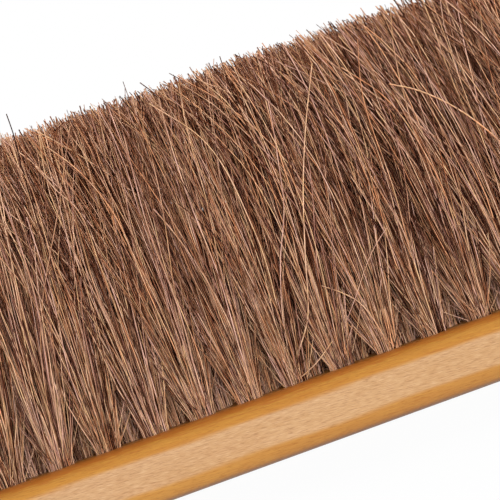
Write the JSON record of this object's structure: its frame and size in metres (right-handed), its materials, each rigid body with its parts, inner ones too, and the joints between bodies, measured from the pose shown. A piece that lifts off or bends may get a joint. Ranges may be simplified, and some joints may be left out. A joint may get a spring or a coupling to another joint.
{
  "type": "snow brush",
  "caption": "Hand-held snow brush: a straight solid beech stock with a handle and hang hole, and staggered rows of long, flat-trimmed coconut-fibre tufts set in drilled holes.",
  "frame": {"origin": "On the flat back of the stock, under the middle of the tufted field.", "axes": "+X runs along the brush from the handle to the nose, +Y across it, and +Z from the back of the stock up through the tufts. The brush lies on its back with the fibres up."},
  "size_m": [0.4532, 0.0444, 0.1008],
  "materials": {
    "lacquered_beech": "satin",
    "coconut_fibre": "matte"
  },
  "bodies": {
    "root": {"stock": "lacquered_beech", "front_tuft_01": "coconut_fibre", "front_tuft_02": "coconut_fibre", "front_tuft_03": "coconut_fibre", "front_tuft_04": "coconut_fibre", "front_tuft_05": "coconut_fibre", "front_tuft_06": "coconut_fibre", "front_tuft_07": "coconut_fibre", "front_tuft_08": "coconut_fibre", "front_tuft_09": "coconut_fibre", "front_tuft_10": "coconut_fibre", "front_tuft_11": "coconut_fibre", "front_tuft_12": "coconut_fibre", "front_tuft_13": "coconut_fibre", "front_tuft_14": "coconut_fibre", "front_tuft_15": "coconut_fibre", "front_tuft_16": "coconut_fibre", "front_tuft_17": "coconut_fibre", "front_tuft_18": "coconut_fibre", "middle_tuft_01": "coconut_fibre", "middle_tuft_02": "coconut_fibre", "middle_tuft_03": "coconut_fibre", "middle_tuft_04": "coconut_fibre", "middle_tuft_05": "coconut_fibre", "middle_tuft_06": "coconut_fibre", "middle_tuft_07": "coconut_fibre", "middle_tuft_08": "coconut_fibre", "middle_tuft_09": "coconut_fibre", "middle_tuft_10": "coconut_fibre", "middle_tuft_11": "coconut_fibre", "middle_tuft_12": "coconut_fibre", "middle_tuft_13": "coconut_fibre", "middle_tuft_14": "coconut_fibre", "middle_tuft_15": "coconut_fibre", "middle_tuft_16": "coconut_fibre", "middle_tuft_17": "coconut_fibre", "middle_tuft_18": "coconut_fibre", "middle_tuft_19": "coconut_fibre", "rear_tuft_01": "coconut_fibre", "rear_tuft_02": "coconut_fibre", "rear_tuft_03": "coconut_fibre", "rear_tuft_04": "coconut_fibre", "rear_tuft_05": "coconut_fibre", "rear_tuft_06": "coconut_fibre", "rear_tuft_07": "coconut_fibre", "rear_tuft_08": "coconut_fibre", "rear_tuft_09": "coconut_fibre", "rear_tuft_10": "coconut_fibre", "rear_tuft_11": "coconut_fibre", "rear_tuft_12": "coconut_fibre", "rear_tuft_13": "coconut_fibre", "rear_tuft_14": "coconut_fibre", "rear_tuft_15": "coconut_fibre", "rear_tuft_16": "coconut_fibre", "rear_tuft_17": "coconut_fibre", "rear_tuft_18": "coconut_fibre"}
  },
  "joints": []
}
